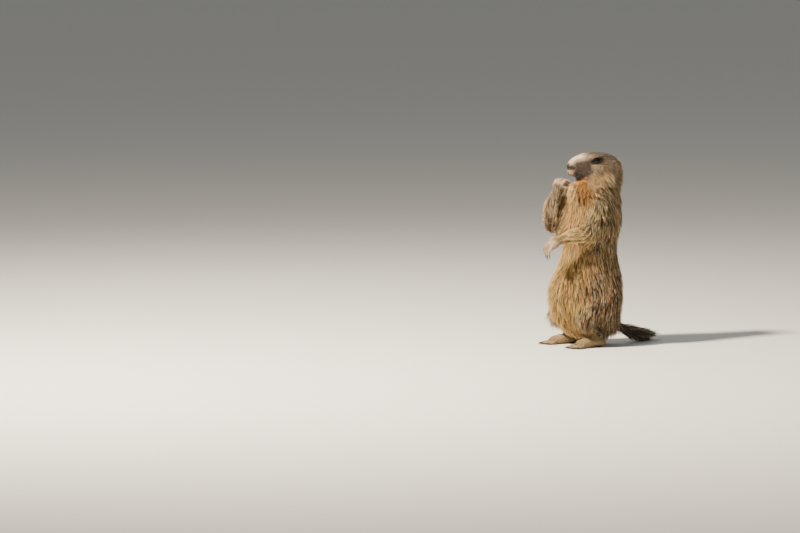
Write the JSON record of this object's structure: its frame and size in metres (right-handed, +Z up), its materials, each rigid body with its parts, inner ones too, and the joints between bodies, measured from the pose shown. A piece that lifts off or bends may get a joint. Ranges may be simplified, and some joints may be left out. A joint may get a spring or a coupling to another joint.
{
  "type": "alpine marmot",
  "caption": "Life-size alpine marmot in grizzled brown fur that stands upright on its hind feet, one hand raised to its mouth and the other forearm held level.",
  "frame": {"origin": "bottom centre of the bounding box, on the floor under the animal", "axes": "+Z up, the longest extent; the body faces -Y and its left side is +X; the head is turned a little to its right"},
  "size_m": [0.1678, 0.315, 0.4003],
  "materials": {
    "back_fur": "grizzled brown fur",
    "head_fur": "short grey-brown fur",
    "chest_fur": "orange-tan fur",
    "limb_fur": "straw and tan fur",
    "tail_fur": "dark brown bushy fur",
    "paw_skin": "thinly haired hands and feet",
    "eye": "glossy black",
    "nose": "dark, slightly moist skin",
    "claw": "smooth dark horn"
  },
  "bodies": {
    "root": {"eye_left": "eye", "eye_right": "eye", "nose": "nose", "claw_hand_left_1": "claw", "claw_hand_left_2": "claw", "claw_hand_left_3": "claw", "claw_hand_left_4": "claw", "claw_hand_right_1": "claw", "claw_hand_right_2": "claw", "claw_hand_right_3": "claw", "claw_hand_right_4": "claw", "claw_foot_left_1": "claw", "claw_foot_left_2": "claw", "claw_foot_left_3": "claw", "claw_foot_left_4": "claw", "claw_foot_left_5": "claw", "claw_foot_right_1": "claw", "claw_foot_right_2": "claw", "claw_foot_right_3": "claw", "claw_foot_right_4": "claw", "claw_foot_right_5": "claw", "head": "head_fur", "ear_left": "head_fur", "ear_right": "head_fur", "neck": "chest_fur", "trunk": "back_fur", "tail": "tail_fur", "hand_left": "paw_skin", "foot_left": "paw_skin", "forearm_left": "limb_fur", "upper_arm_left": "limb_fur", "thigh_left": "back_fur", "shank_left": "limb_fur", "hand_right": "paw_skin", "foot_right": "paw_skin", "forearm_right": "limb_fur", "upper_arm_right": "limb_fur", "thigh_right": "back_fur", "shank_right": "limb_fur"}
  },
  "joints": []
}
